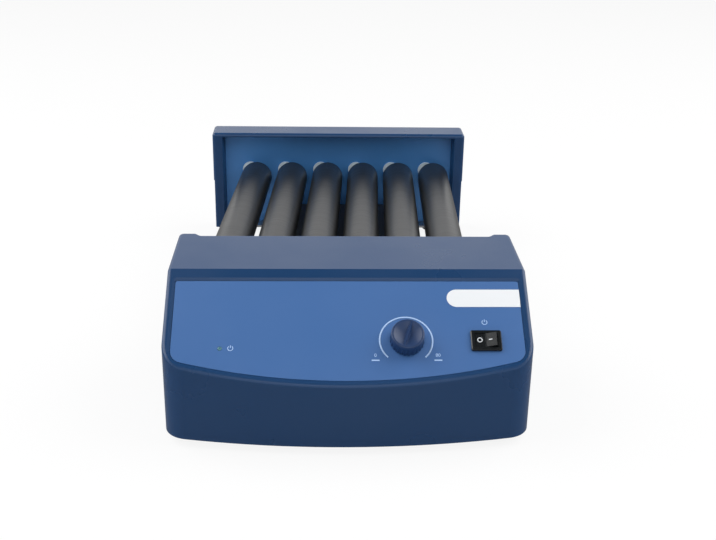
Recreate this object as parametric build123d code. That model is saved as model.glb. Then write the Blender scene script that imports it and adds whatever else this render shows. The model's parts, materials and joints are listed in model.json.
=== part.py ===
from build123d import *
import math
import os

# Tube roller mixer: two housings joined by a central beam, with a bed of rollers between them.
# Every roller is skewed about a fixed axis, so a tube lying on the bed rolls and rocks.
# Frame: X to the right, Y away from the person at the control panel, Z up, bench at Z = 0.
# All sizes are in millimetres, and all angles in degrees.

# Housings
side_margin = 36.0
cover_height = 97.0
wall = 3.0
foot_height = 6.0
base_thickness = 2.0
front_top_depth = 65.0
panel_run = 74.0
front_bow_radius = 550.0
front_corner_radius = 18.0
panel_slope = 35.0
front_edge_radius = 2.6
rear_depth = 30.0
rear_edge_radius = 3.0
side_step = 0.8
side_step_height = 49.0
assembly_gap = 0.3

# Frames round the two recesses that face the bed
lip_width = 9.6
lip_thickness = 2.5
lip_draft = 2.0
rear_top_lip = 3.7
front_recess = 8.0
rear_recess = 13.6

# Wings at the front housing's rear corners
wing_length = 4.5
wing_width = 12.5
wing_slant = 4.0
wing_radius = 2.8
wing_corner_radius = 4.0

# Rollers
roller_count = 6
roller_diameter = 30.0
roller_gap = 5.0
roller_length = 280.0
roller_end_room = 8.8
roller_wall = 2.5
roller_throw = 8.2
roller_throw_angle = 37.6
roller_axis_height = 57.0
cap_flange = 3.0
cap_spigot = 16.0
cap_boss_diameter = 11.2
cap_boss_length = 2.5
cap_edge_radius = 0.8
journal_diameter = 6.0
journal_seat = 14.0
journal_tail = 1.0
running_gap = 0.05

# Bearing plates and bushes
plate_thickness = 3.0
plate_foot = 13.0
bush_flange_diameter = 15.6
bush_flange = 1.5
bush_body_diameter = 12.0
bush_tail = 1.0

# Gear train
roller_teeth = 20
idler_teeth = 15
pinion_teeth = 15
pressure_angle = 20.0
addendum = 0.95
dedendum = 1.25
backlash = 0.16
gear_width = 6.0
gear_rim = 1.2
gear_dish = 1.5
gear_gap = 1.5
idler_axle_diameter = 5.0
idler_head_diameter = 8.0
idler_head = 1.0

# Drive motor
motor_plate_thickness = 3.0
motor_plate_width = 72.0
motor_plate_above = 23.0
motor_plate_below = 38.0
motor_plate_radius = 5.0
motor_plate_gap = 1.6
standoff_diameter = 8.0
standoff_inset = 6.0
gearbox_diameter = 37.0
gearbox_length = 24.0
motor_diameter = 33.0
motor_length = 30.0
motor_cap_diameter = 12.0
motor_cap_length = 3.0
motor_boss_diameter = 12.0
motor_boss_length = 2.0
motor_shaft_diameter = 6.0
motor_screw_circle = 31.0

# Control panel: overlay and label are measured down from the slope's top edge
recess_depth = 1.2
recess_bevel = 2.2
overlay_thickness = 0.6
overlay_side_rim = 6.2
overlay_top = 9.6
overlay_rim = 3.9
overlay_corner_radius = 9.0
overlay_top_radius = 1.5
label_length = 50.1
label_top = 16.3
label_height = 13.7
label_thickness = 0.2

# Speed knob and its control, placed from the right side and up from the slope's foot
knob_inset = 84.8
knob_rise = 34.2
knob_skirt_diameter = 23.0
knob_top_diameter = 22.0
knob_height = 9.6
knob_lift = 0.8
knob_edge_radius = 1.0
knob_flutes = 24
knob_flute_radius = 0.9
knob_flute_depth = 0.6
knob_flute_height = 6.0
knob_dish_diameter = 19.0
knob_dish_depth = 2.3
knob_ridge_width = 1.2
knob_ridge_foot = 3.6
knob_cap = 3.4
knob_rest_angle = 17.6
shaft_diameter = 6.0
pot_bushing_diameter = 7.0
pot_body_diameter = 17.0
pot_body_length = 9.0
pot_lug_length = 8.0
pot_lug_width = 1.2
pot_lug_pitch = 4.8
pot_nut_width = 10.0
pot_nut_height = 2.0
pot_washer_diameter = 12.0
pot_washer = 0.5
pot_thread_stand = 0.4

# Rocker switch, placed as the knob is
switch_inset = 31.9
switch_rise = 34.0
switch_length = 20.6
switch_width = 15.2
switch_bezel = 2.0
switch_bezel_chamfer = 0.6
switch_corner_radius = 1.2
switch_body_depth = 14.0
switch_body_margin = 1.4
rocker_radius = 7.3
rocker_width = 9.8
rocker_gap = 0.3
rocker_tilt = 10.0
rocker_sink = 0.3
rocker_pivot_depth = 1.2
rocker_keel = 4.0
rocker_pin_diameter = 2.0
rocker_pin_length = 1.0
terminal_length = 7.0
terminal_width = 4.8
terminal_thickness = 0.8
terminal_pitch = 6.0

# Indicator lamp, placed from the left side and up from the slope's foot
led_inset = 38.5
led_rise = 28.6
led_diameter = 3.0
led_flange_diameter = 4.2
led_body = 5.0
led_stand = 0.4
led_clearance = 0.05

# Beam and feet
beam_width = 120.0
beam_height = 18.0
beam_wall = 2.0
beam_tab_width = 24.0
foot_diameter = 16.0
foot_recess_diameter = 9.0
foot_recess = 3.0
foot_edge_radius = 1.2
foot_inset_x = 29.0
foot_inset_y = 34.0
rear_foot_inset_y = 15.0

# Screws, all of one size, and the posts that take them
screw_diameter = 3.0
screw_head_diameter = 5.6
screw_head = 1.8
screw_length = 8.0
screw_slot_width = 0.8
screw_slot_depth = 1.0
cover_boss_diameter = 9.0
cover_boss_height = 14.0
cover_boss_sink = 1.0
cover_boss_run = 34.0
plate_screw_inset = 45.0

# Board, inlet and leads
board_width = 74.0
board_depth = 40.0
board_thickness = 1.6
board_lift = 8.0
board_x = -52.0
board_inset_y = 34.0
board_screw_inset = 4.0
board_post_diameter = 6.0
capacitor_diameter = 12.0
capacitor_height = 16.0
capacitor_place = (-22.0, -6.0)
sink_size = (16.0, 10.0, 14.0)
sink_place = (0.0, -4.0)
sink_slot = 2.0
sink_slot_pitch = 5.0
sink_base = 3.0
driver_size = (20.0, 16.0, 12.0)
driver_place = (20.0, -2.0)
header_length = 18.0
header_width = 6.0
header_height = 8.0
header_inset = 5.6
jack_barrel_diameter = 8.0
jack_length = 9.0
jack_socket_diameter = 5.6
jack_socket_depth = 7.0
jack_pin_diameter = 2.0
jack_pin_inset = 1.0
jack_flange_diameter = 10.5
jack_flange = 1.2
jack_behind_slope = 12.0
jack_height = 24.0
lead_diameter = 2.4
lead_bend = 4.5
lead_start = 9.0
lead_pitch = 3.0
lead_rise = 8.0
lead_step = 3.5
lead_pass = 18.0
lead_run_share = 0.45

# Sizes that follow from those above
roller_pitch = roller_diameter + roller_gap
body_width = (roller_count - 1) * roller_pitch + 2 * side_margin
front_depth = front_top_depth + panel_run
bed_length = roller_length + 2 * roller_end_room - front_recess - rear_recess
overlay_width = body_width - 2 * overlay_side_rim

# Stations along Y and Z that the pieces share
total_depth = front_depth + bed_length + rear_depth
y_front = -total_depth / 2
y_back = total_depth / 2
y_bed_front = y_front + front_depth
y_bed_rear = y_bed_front + bed_length
y_slope_top = y_bed_front - front_top_depth
y_wing = y_bed_front + wing_length
y_front_plate = y_bed_front - front_recess
y_rear_plate = y_bed_rear + rear_recess
y_bed_middle = (y_front_plate + y_rear_plate) / 2
y_gear = y_front_plate - plate_thickness - gear_gap
y_motor_plate = y_gear - gear_width - idler_head - motor_plate_gap
y_motor = y_motor_plate - motor_plate_thickness
y_board = y_front + board_inset_y + board_depth / 2
z_cover = foot_height
z_base = foot_height + base_thickness
z_top = foot_height + cover_height
z_axis = foot_height + roller_axis_height
z_board = z_base + board_lift
half_width = body_width / 2
plate_half = half_width - wall - assembly_gap
plate_top = z_top - wall - assembly_gap
bow_centre = y_front + front_bow_radius

# Gear sizes follow the roller pitch, so that the train always closes
module = roller_pitch / (roller_teeth + idler_teeth)
roller_xs = [(i - (roller_count - 1) / 2) * roller_pitch for i in range(roller_count)]
idler_xs = [x + roller_pitch / 2 for x in roller_xs[:-1]]
driven_idler = (len(idler_xs) - 1) // 2
motor_x = idler_xs[driven_idler]
motor_z = z_axis - module * (idler_teeth + pinion_teeth) / 2

# The sloped face, with its own X to the right, Y up the slope and Z outwards
slope = math.radians(panel_slope)
outward = (0, -math.sin(slope), math.cos(slope))
inward = (0, math.sin(slope), -math.cos(slope))
panel = Plane(origin=(0, y_slope_top, z_top), x_dir=(1, 0, 0), z_dir=outward)
overlay_face = -recess_depth + overlay_thickness
panel_length = panel_run / math.cos(slope)
knob_x = half_width - knob_inset
knob_drop = panel_length - knob_rise
switch_x = half_width - switch_inset
switch_drop = panel_length - switch_rise
led_x = led_inset - half_width
led_drop = panel_length - led_rise
pot_bushing_length = wall + overlay_face + pot_washer + pot_nut_height + pot_thread_stand

UP = (0, 0, 1)
DOWN = (0, 0, -1)
BACK = (0, 1, 0)
FRONT = (0, -1, 0)
RISE = (Align.CENTER, Align.CENTER, Align.MIN)
SINK = (Align.CENTER, Align.CENTER, Align.MAX)


def block(x0, x1, y0, y1, z0, z1):
    return Pos((x0 + x1) / 2, (y0 + y1) / 2, (z0 + z1) / 2) * Box(x1 - x0, y1 - y0, z1 - z0)


def rod(start, direction, length, diameter):
    """A round rod that runs from start in the given direction."""
    return Plane(origin=start, z_dir=direction) * Cylinder(diameter / 2, length, align=RISE)


def rod_y(x, z, y0, y1, diameter):
    return rod((x, min(y0, y1), z), BACK, abs(y1 - y0), diameter)


def on_panel(x, drop, lift=0.0):
    """A frame on the sloped face, drop below its top edge and lift above its surface."""
    return panel * Pos(x, -drop, lift)


def panel_point(x, drop, lift):
    return on_panel(x, drop, lift).position


def both_sides(piece):
    return piece + mirror(piece, Plane.YZ)


def group(shapes):
    """Separate solids that share one node."""
    return Compound(children=[solid for shape in shapes for solid in shape.solids()])


# Screws, which all share one size: seat is where the head rests, direction is where the shank goes


def screw(seat, direction):
    frame = Plane(origin=seat, z_dir=direction)
    head = Cylinder(screw_head_diameter / 2, screw_head, align=SINK)
    head = fillet(head.edges().group_by(Axis.Z)[0], screw_head / 3)
    slot = Pos(0, 0, -screw_head) * Box(screw_head_diameter, screw_slot_width, 2 * screw_slot_depth)
    shank = Cylinder(screw_diameter / 2, screw_length, align=RISE)
    return frame * (head - slot + shank)


def screw_hole(seat, direction):
    """Hole that a screw passes through or cuts its thread in, a little longer than its shank."""
    return rod(seat, direction, screw_length + 2 * assembly_gap, screw_diameter)


def front_boss_places():
    x = half_width - wall - cover_boss_diameter / 2 + cover_boss_sink
    ys = (y_slope_top - cover_boss_run, y_front_plate - plate_foot - cover_boss_diameter)
    return [(side * x, y, z_cover) for side in (-1, 1) for y in ys]


def rear_boss_places():
    x = half_width - side_step - wall - cover_boss_diameter / 2 + cover_boss_sink
    y = y_back - wall - cover_boss_diameter / 2 + cover_boss_sink
    return [(side * x, y, z_cover) for side in (-1, 1)]


def plate_screw_places():
    """Screws up through the bases into the bearing plates' feet."""
    reach = (plate_foot + plate_thickness) / 2
    ys = (y_front_plate - reach, y_rear_plate + reach)
    xs = (half_width - plate_screw_inset, beam_width / 4)
    return [(side * x, y, z_cover) for x in xs for side in (-1, 1) for y in ys]


def foot_places():
    x = half_width - foot_inset_x
    ys = (y_front + foot_inset_y, y_back - rear_foot_inset_y)
    return [(side * x, y, foot_recess) for side in (-1, 1) for y in ys]


def beam_screw_places():
    """Seats on the bearing plates' far faces, with the direction towards the bed."""
    x = (beam_width - beam_tab_width) / 2 - beam_wall
    z = z_base + beam_height / 2
    seats = [((side * x, y_front_plate - plate_thickness, z), BACK) for side in (-1, 1)]
    return seats + [((side * x, y_rear_plate + plate_thickness, z), FRONT) for side in (-1, 1)]


def standoff_places():
    x = motor_plate_width / 2 - standoff_inset
    zs = (z_axis + motor_plate_above - standoff_inset, z_axis - motor_plate_below + standoff_inset)
    return [(motor_x + side * x, z) for side in (-1, 1) for z in zs]


def standoff_screw_places():
    """Seats on the bed side of the front plate and on the motor side of the motor plate."""
    seats = [((x, y_front_plate, z), FRONT) for x, z in standoff_places()]
    return seats + [((x, y_motor, z), BACK) for x, z in standoff_places()]


def motor_screw_places():
    reach = motor_screw_circle / 2 / math.sqrt(2)
    corners = [(motor_x + sx * reach, motor_z + sz * reach) for sx in (-1, 1) for sz in (-1, 1)]
    return [((x, y_motor_plate, z), FRONT) for x, z in corners]


def board_corners():
    x = board_width / 2 - board_screw_inset
    y = board_depth / 2 - board_screw_inset
    return [(board_x + sx * x, y_board + sy * y) for sx in (-1, 1) for sy in (-1, 1)]


def screw_places():
    upwards = front_boss_places() + rear_boss_places() + plate_screw_places() + foot_places()
    seats = [(place, UP) for place in upwards]
    seats += [((x, y, z_board + board_thickness), DOWN) for x, y in board_corners()]
    return seats + beam_screw_places() + standoff_screw_places() + motor_screw_places()


def case_screws():
    return group([screw(seat, direction) for seat, direction in screw_places()])


def drilled(piece, seats):
    """The piece with a hole for each screw of a list of seats and directions."""
    for seat, direction in seats:
        piece = piece - screw_hole(seat, direction)
    return piece


# Front housing


def front_plan(inset, y_end):
    """Plan of the front housing: straight sides, a bowed front and rounded corners."""
    side = half_width - inset
    bow = front_bow_radius - inset
    y_side = bow_centre - math.sqrt(bow**2 - side**2)
    sides = Polyline((side, y_side), (side, y_end), (-side, y_end), (-side, y_side))
    arc = ThreePointArc((-side, y_side), (0, bow_centre - bow), (side, y_side))
    face = make_face([*sides.edges(), arc])
    corners = [v for v in face.vertices() if v.Y < y_side + 1]
    return fillet(corners, max(front_corner_radius - inset, 1.0))


def winged_plan():
    """The outside plan, whose rear corners reach back as wings beside the bed."""
    tip = half_width - wing_width
    root = tip - wing_slant
    beyond = wing_length + 1
    right = [(root, 0), (tip, wing_length), (tip, beyond)]
    left = [(-x, y) for x, y in right[::-1]]
    notch = make_face(Polyline(*right, *left, close=True))
    face = front_plan(0, y_wing) - Pos(0, y_bed_front) * notch
    tips = [v for v in face.vertices() if v.Y > y_bed_front - 1 and abs(v.X) < tip + 1]
    face = fillet(tips, wing_radius)
    corners = [v for v in face.vertices() if v.Y > y_wing - 1 and abs(v.X) > half_width - 1]
    return fillet(corners, wing_corner_radius)


def front_profile(inset, y_end, z_low):
    """Side view of the front housing: flat top, then the panel's slope, cut off ahead of the bow."""
    y_far = y_front - wall
    z_flat = z_top - inset
    y_break = y_slope_top + inset * math.tan(slope / 2)
    z_far = z_flat - (y_break - y_far) * math.tan(slope)
    corners = [(y_end, z_low), (y_end, z_flat), (y_break, z_flat), (y_far, z_far), (y_far, z_low)]
    face = make_face(Polyline(*[(0, y, z) for y, z in corners], close=True))
    return extrude(face, amount=half_width + wall, dir=(1, 0, 0), both=True)


def front_form(plan, inset, y_end, z_low):
    prism = extrude(Pos(0, 0, z_low) * plan, amount=z_top - z_low)
    return prism & front_profile(inset, y_end, z_low)


def rounded_edges(form):
    """The edges round the flat top and the sloped face, without the crease between them."""
    chosen = []
    for edge in form.edges():
        size = edge.bounding_box().size
        upright = size.X < 1 and size.Y < 1 and size.Z > wall
        crease = size.X > body_width / 2 and abs(edge.center().Y - y_slope_top) < 1
        if edge.center().Z > z_cover + wall and not upright and not crease:
            chosen.append(edge)
    return chosen


def panel_outline(margin):
    """The overlay's outline on the slope, grown by margin: straight top and sides, bowed lower edge."""
    side = overlay_width / 2 + margin
    high = -overlay_top + margin

    def low(x):
        y = bow_centre - math.sqrt(front_bow_radius**2 - x**2) + overlay_rim
        return (y - y_slope_top) / math.cos(slope) - margin

    sides = Polyline((side, low(side)), (side, high), (-side, high), (-side, low(side)))
    arc = ThreePointArc((-side, low(side)), (0, low(0)), (side, low(side)))
    face = make_face([*sides.edges(), arc])
    face = fillet([v for v in face.vertices() if v.Y < high - 1], overlay_corner_radius + margin)
    return fillet([v for v in face.vertices() if v.Y > high - 0.1], overlay_top_radius + margin)


def panel_slab(face, low, high):
    """A slab of that outline between two heights over the sloped face."""
    return extrude(panel * Pos(0, 0, low) * face, amount=high - low, dir=panel.z_dir)


def panel_recess():
    """The overlay's pocket: an upright wall for the overlay, then a bevel out to the sloped face."""
    well = panel_slab(panel_outline(assembly_gap), -recess_depth, overlay_face)
    foot = panel * Pos(0, 0, overlay_face) * panel_outline(assembly_gap)
    mouth = panel * panel_outline(assembly_gap + recess_bevel)
    bevel = loft([foot, mouth], ruled=True)
    return well + bevel


def panel_cuts():
    """The holes through the panel for the control's bushing, the switch and the lamp."""
    deep = wall + front_edge_radius
    base = -deep
    reach = 2 * deep
    bushing = Cylinder((pot_bushing_diameter + assembly_gap) / 2, reach, align=RISE)
    length = switch_length - 2 * switch_body_margin + assembly_gap
    width = switch_width - 2 * switch_body_margin + assembly_gap
    body = Box(length, width, reach, align=RISE)
    lamp = Cylinder(led_diameter / 2 + led_clearance, reach, align=RISE)
    cuts = on_panel(knob_x, knob_drop, base) * bushing + on_panel(switch_x, switch_drop, base) * body
    return cuts + on_panel(led_x, led_drop, base) * lamp


def side_frame(y_lip, y_plate, z_high):
    """The lip beside a recess and its drafted return, on the right. y_lip is the lip's outer face."""
    towards = 1 if y_plate > y_lip else -1
    edge = half_width - lip_width
    y_end = y_plate - towards * assembly_gap
    y_behind = y_lip + towards * lip_thickness
    points = [
        (edge, y_lip),
        (half_width - wall / 2, y_lip),
        (half_width - wall / 2, y_behind),
        (edge + lip_thickness, y_behind),
        (edge + lip_thickness - lip_draft, y_end),
        (edge - lip_draft, y_end),
    ]
    face = make_face(Polyline(*points, close=True))
    return extrude(Pos(0, 0, z_cover) * face, amount=z_high - z_cover, dir=UP)


def cover_bosses(places):
    return group([rod((x, y, z_base), UP, cover_boss_height, cover_boss_diameter) for x, y, z in places])


def front_cover():
    form = front_form(winged_plan(), 0, y_wing, z_cover)
    outer = fillet(rounded_edges(form), front_edge_radius)
    inner = front_form(front_plan(wall, y_wing + wall), wall, y_wing + wall, z_cover - wall)
    frames = both_sides(side_frame(y_wing, y_front_plate, z_top - wall / 2)) & outer
    shell = outer - inner + frames + cover_bosses(front_boss_places())
    shell = shell - panel_recess() - panel_cuts() - jack_hole()
    return drilled(shell, [(place, UP) for place in front_boss_places()])


def panel_overlay():
    return panel_slab(panel_outline(0), -recess_depth, overlay_face) - panel_cuts()


def blank_label():
    """A bare white plate with a round left end, flush with the overlay's right edge."""
    radius = label_height / 2
    right = overlay_width / 2
    length = label_length - radius
    bar = Pos(right - length / 2, -label_top - radius) * Rectangle(length, label_height)
    end = Pos(right - length, -label_top - radius) * Circle(radius)
    return panel_slab((bar + end).face(), overlay_face, overlay_face + label_thickness)


# Speed knob and its control


def knob_dish():
    """The hollow in the knob's top: a shallow dish without the tapered ridge that crosses it."""
    radius = knob_dish_diameter / 2
    ball_radius = (radius**2 + knob_dish_depth**2) / (2 * knob_dish_depth)
    ball = Pos(0, 0, knob_height - knob_dish_depth + ball_radius) * Sphere(ball_radius)
    top, foot = knob_ridge_width / 2, knob_ridge_foot / 2
    corners = [(top, 0), (foot, -knob_dish_depth), (-foot, -knob_dish_depth), (-top, 0)]
    ridge = extrude(make_face(Polyline(*corners, close=True)), radius, both=True)
    return ball - Pos(0, 0, knob_height) * Rot(90, 0, 0) * ridge


def speed_knob():
    """Fluted, slightly tapered knob, whose dished top has a ridge that points up the slope at angle 0."""
    body = Cone(knob_skirt_diameter / 2, knob_top_diameter / 2, knob_height, align=RISE)
    body = fillet(body.edges().group_by(Axis.Z)[-1], knob_edge_radius) - knob_dish()
    flute = Cylinder(knob_flute_radius, knob_flute_height, align=RISE)
    flute = Pos(knob_skirt_diameter / 2 + knob_flute_radius - knob_flute_depth, 0, 0) * flute
    for i in range(knob_flutes):
        body = body - Rot(0, 0, 360 * i / knob_flutes) * flute
    well_depth = pot_washer + pot_nut_height + pot_thread_stand + assembly_gap
    well = Cylinder(pot_washer_diameter / 2 + 2 * assembly_gap, well_depth, align=RISE)
    socket = Cylinder(shaft_diameter / 2, knob_height - knob_cap, align=RISE)
    place = on_panel(knob_x, knob_drop, overlay_face + knob_lift) * Rot(0, 0, -knob_rest_angle)
    return place * (body - well - socket)


def knob_shaft():
    """The control's shaft, from the foot of its bushing up to the end of the knob's socket."""
    low = -wall + assembly_gap
    high = overlay_face + knob_lift + knob_height - knob_cap
    return on_panel(knob_x, knob_drop, low) * Cylinder(shaft_diameter / 2, high - low, align=RISE)


def speed_control():
    """Potentiometer body with its threaded bushing and three lugs."""
    body = Cylinder(pot_body_diameter / 2, pot_body_length, align=SINK)
    bushing = Cylinder(pot_bushing_diameter / 2, pot_bushing_length, align=RISE)
    bore = Cylinder(shaft_diameter / 2 + running_gap, pot_bushing_length, align=RISE)
    piece = body + (bushing - bore)
    for i in (-1, 0, 1):
        lug = Box(pot_lug_width, pot_lug_length, terminal_thickness, align=RISE)
        piece = piece + Pos(i * pot_lug_pitch, -pot_body_diameter / 2, -pot_body_length / 2) * lug
    return on_panel(knob_x, knob_drop, -wall) * piece


def control_nut():
    """Washer and hexagon nut that clamp the bushing to the panel."""
    washer = Cylinder(pot_washer_diameter / 2, pot_washer, align=RISE)
    hexagon = RegularPolygon(pot_nut_width / 2, 6, major_radius=False)
    nut = Pos(0, 0, pot_washer) * extrude(hexagon, pot_nut_height)
    thread = Cylinder(pot_bushing_diameter / 2, 2 * (pot_washer + pot_nut_height))
    return on_panel(knob_x, knob_drop, overlay_face) * (washer + nut - thread)


# Rocker switch

switch_frame = on_panel(switch_x, switch_drop, overlay_face)
rocker_pivot = switch_bezel - rocker_pivot_depth


def across(diameter, length):
    """A rod across the switch, along the rocker's pivot."""
    return Rot(90, 0, 0) * Cylinder(diameter / 2, length)


def switch_body():
    """Bezel and body in one moulding, hollow round the rocker, with two blade terminals below."""
    bezel = Box(switch_length, switch_width, switch_bezel, align=RISE)
    bezel = fillet(bezel.edges().filter_by(Axis.Z), switch_corner_radius)
    bezel = chamfer(bezel.edges().group_by(Axis.Z)[-1], switch_bezel_chamfer)
    length = switch_length - 2 * switch_body_margin
    width = switch_width - 2 * switch_body_margin
    body = Box(length, width, switch_body_depth, align=SINK)
    reach = rocker_radius + rocker_gap
    room_width = rocker_width + 2 * rocker_gap
    room = Box(2 * reach, room_width, 2 * switch_bezel, align=RISE)
    turn = across(2 * reach, room_width)
    pins = across(rocker_pin_diameter + 2 * running_gap, room_width + 2 * rocker_pin_length)
    moulding = bezel + body - Pos(0, 0, rocker_pivot) * (room + turn + pins)
    blades = []
    for side in (-1, 1):
        blade = Box(terminal_thickness, terminal_width, terminal_length, align=SINK)
        blades.append(switch_frame * Pos(side * terminal_pitch / 2, 0, -switch_body_depth) * blade)
    return group([switch_frame * moulding] + blades)


def switch_rocker():
    """Rocker with a shallow V on top and round ends about its pivot, at rest with its left side pressed."""
    body = across(2 * rocker_radius, rocker_width)
    ramp = 3 * rocker_radius
    body = body & block(-ramp, ramp, -rocker_width, rocker_width, -rocker_keel, ramp)
    crown = Pos(0, 0, rocker_pivot_depth - rocker_sink)
    lid = Rot(0, -rocker_tilt, 0) * block(0, ramp, -rocker_width, rocker_width, 0, ramp)
    body = body - crown * lid - crown * mirror(lid, Plane.YZ)
    pin_reach = rocker_gap + rocker_pin_length - running_gap
    body = body + across(rocker_pin_diameter, rocker_width + 2 * pin_reach)
    return switch_frame * Pos(0, 0, rocker_pivot) * Rot(0, -rocker_tilt, 0) * body


def power_led():
    """Indicator lamp: domed stem through the panel and a flange behind it."""
    stem = Cylinder(led_diameter / 2, wall + overlay_face + led_stand, align=RISE)
    stem = fillet(stem.edges().group_by(Axis.Z)[-1], led_diameter / 4)
    flange = Cylinder(led_flange_diameter / 2, led_body, align=SINK)
    return on_panel(led_x, led_drop, -wall) * (stem + flange)


# Bases, bearing plates and beam

tongue_half = half_width - lip_width - lip_draft - assembly_gap


def front_base():
    """Flat plate that closes the front housing from below, with a tongue under the recess."""
    plan = front_plan(wall + assembly_gap, y_front_plate)
    plate = extrude(Pos(0, 0, z_cover) * plan, amount=base_thickness)
    plate = plate + block(-tongue_half, tongue_half, y_front_plate, y_bed_front, z_cover, z_base)
    places = front_boss_places() + plate_screw_places() + foot_places()
    return drilled(plate, [(place, UP) for place in places if place[1] < y_bed_front])


def rear_base():
    """Flat plate that closes the rear housing from below, with a tongue under the recess."""
    inside = plate_half - side_step
    plate = block(-inside, inside, y_rear_plate, y_back - wall - assembly_gap, z_cover, z_base)
    plate = plate + block(-tongue_half, tongue_half, y_bed_rear, y_rear_plate, z_cover, z_base)
    places = rear_boss_places() + plate_screw_places() + foot_places()
    return drilled(plate, [(place, UP) for place in places if place[1] > y_bed_rear])


def bearing_plate(y_bed_face, away, half):
    """Upright plate with a folded foot, bored for the bushes. away is +1 or -1, the side off the bed."""
    ys = sorted((y_bed_face, y_bed_face + away * plate_thickness))
    foot_ys = sorted((y_bed_face, y_bed_face + away * plate_foot))
    plate = block(-half, half, *ys, z_base, plate_top)
    plate = plate + block(-half + lip_width, half - lip_width, *foot_ys, z_base, z_base + plate_thickness)
    for x in roller_xs:
        plate = plate - rod_y(x, z_axis, *ys, bush_body_diameter)
    low, high = foot_ys
    places = [place for place in plate_screw_places() + foot_places() if low < place[1] < high]
    return drilled(plate, [(place, UP) for place in places] + beam_screw_places())


def front_plate():
    plate = bearing_plate(y_front_plate, -1, plate_half)
    y_far = y_front_plate - plate_thickness
    for x in idler_xs:
        plate = plate - rod_y(x, z_axis, y_far, y_front_plate, idler_axle_diameter)
    return drilled(plate, standoff_screw_places())


def rear_plate():
    return bearing_plate(y_rear_plate, 1, plate_half - side_step)


def base_beam():
    """Channel, open below, that ties the two bearing plates together; tabs at its ends take the screws."""
    y0, y1 = y_front_plate, y_rear_plate
    half = beam_width / 2
    z_high = z_base + beam_height
    outer = block(-half, half, y0, y1, z_base, z_high)
    outer = fillet(outer.edges().filter_by(Axis.Y).group_by(Axis.Z)[-1], 2 * beam_wall)
    inner = block(-half + beam_wall, half - beam_wall, y0, y1, z_base, z_high - beam_wall)
    inner = fillet(inner.edges().filter_by(Axis.Y).group_by(Axis.Z)[-1], beam_wall)
    beam = outer - inner
    for (x, y, z), direction in beam_screw_places():
        ys = (y0, y0 + beam_wall) if y < y_bed_middle else (y1 - beam_wall, y1)
        x0, x1 = x - beam_tab_width / 2, x + beam_tab_width / 2
        beam = beam + block(x0, x1, *ys, z_base, z_high - beam_wall / 2)
    return drilled(beam, beam_screw_places())


# Rear housing


def rear_cover():
    """Box with a recessed opening towards the bed, stepped in a little at the lower half of each side."""
    outer = block(-half_width, half_width, y_bed_rear, y_back, z_cover, z_top)
    upright = outer.edges().filter_by(Axis.Z)
    crosswise = outer.edges().filter_by(Axis.X).group_by(Axis.Z)[-1]
    lengthwise = outer.edges().filter_by(Axis.Y).group_by(Axis.Z)[-1]
    outer = fillet(upright + crosswise + lengthwise, rear_edge_radius)
    beyond = half_width + wall
    skim = block(half_width - side_step, beyond, y_bed_rear, y_back, z_cover, z_cover + side_step_height)
    outer = outer - both_sides(skim)
    inside = half_width - wall - side_step
    inner = block(-inside, inside, y_bed_rear, y_back - wall, z_cover, z_top - wall)
    frames = both_sides(side_frame(y_bed_rear, y_rear_plate, z_top - wall / 2)) + top_frame(inside)
    shell = outer - inner + (frames & outer) + cover_bosses(rear_boss_places())
    return drilled(shell, [(place, UP) for place in rear_boss_places()])


def top_frame(inside):
    """The drafted ceiling of the rear recess."""
    z_lip = z_top - rear_top_lip
    y_end = y_rear_plate - assembly_gap
    z_high = z_top - wall / 2
    corners = [(y_bed_rear, z_high), (y_bed_rear, z_lip), (y_end, z_lip - lip_draft), (y_end, z_high)]
    face = make_face(Polyline(*[(0, y, z) for y, z in corners], close=True))
    return extrude(face, amount=inside, dir=(1, 0, 0), both=True)


# Power inlet in the front housing's left side

jack_place = (-half_width, y_slope_top + jack_behind_slope, foot_height + jack_height)
jack_frame = Plane(origin=jack_place, z_dir=(-1, 0, 0))


def jack_hole():
    return jack_frame * Cylinder(jack_barrel_diameter / 2, 2 * wall + 2 * assembly_gap)


def power_jack():
    """Low-voltage inlet: barrel in the side wall, flange behind it and a pin in the socket."""
    barrel = Cylinder(jack_barrel_diameter / 2, jack_length, align=SINK)
    flange = Pos(0, 0, -wall) * Cylinder(jack_flange_diameter / 2, jack_flange, align=SINK)
    socket = Cylinder(jack_socket_diameter / 2, jack_socket_depth, align=SINK)
    pin_length = jack_socket_depth - jack_pin_inset
    pin = Pos(0, 0, -jack_pin_inset) * Cylinder(jack_pin_diameter / 2, pin_length, align=SINK)
    return jack_frame * (barrel + flange - socket + pin)


# Rollers

skew = math.asin(2 * roller_throw / roller_length)
end_station = roller_length / 2 * math.cos(skew)


def roller_frame(x):
    """The roller's own skewed frame: its Z axis runs from the front end to the rear end."""
    turn = math.radians(roller_throw_angle)
    direction = (math.sin(skew) * math.cos(turn), math.cos(skew), -math.sin(skew) * math.sin(turn))
    return Plane(origin=(x, y_bed_middle, z_axis), x_dir=(1, 0, 0), z_dir=direction)


def roller_tube(x):
    length = roller_length - 2 * cap_flange
    tube = Cylinder(roller_diameter / 2, length) - Cylinder(roller_diameter / 2 - roller_wall, length)
    return roller_frame(x) * tube


def journal_span(end):
    """Where the journal at the front (-1) or rear (+1) end starts in its cap and where it stops."""
    inner = y_bed_middle + end * (end_station - journal_seat)
    if end > 0:
        return inner, y_rear_plate + plate_thickness + bush_tail + journal_tail
    return inner, y_gear - gear_width - journal_tail


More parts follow.
